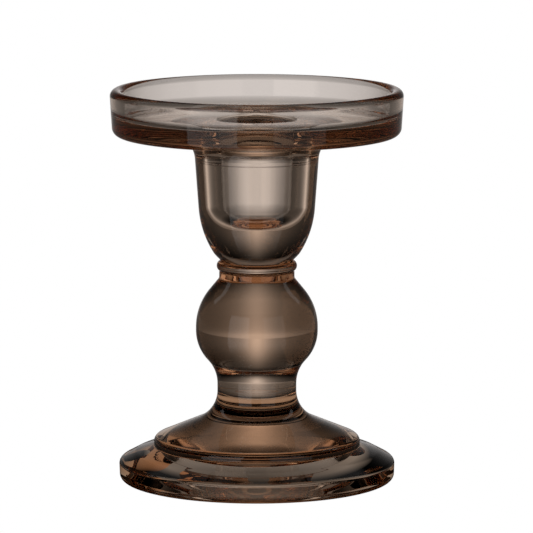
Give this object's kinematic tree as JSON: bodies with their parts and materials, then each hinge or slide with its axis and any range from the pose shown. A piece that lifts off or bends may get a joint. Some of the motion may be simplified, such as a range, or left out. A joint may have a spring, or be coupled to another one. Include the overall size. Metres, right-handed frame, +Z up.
{
  "type": "glass candlestick",
  "caption": "Smoky brown pressed-glass candlestick: a pillar candle dish over a cup with a taper well, on a ball stem and a stepped round foot.",
  "frame": {"origin": "centre of the foot, on the table", "axes": "+Z up along the axis that every piece is turned about; +X and +Y are alike"},
  "size_m": [0.094, 0.094, 0.1264],
  "materials": {
    "foot_glass": "fire-polished smoky brown pressed glass",
    "stem_glass": "fire-polished smoky brown pressed glass",
    "wafer_glass": "fire-polished smoky brown glass",
    "cup_glass": "fire-polished smoky brown pressed glass",
    "dish_glass": "fire-polished smoky brown pressed glass"
  },
  "bodies": {
    "root": {"stepped_foot": "foot_glass", "ball_stem": "stem_glass", "wafer_ring": "wafer_glass", "taper_cup": "cup_glass", "pillar_dish": "dish_glass"}
  },
  "joints": []
}
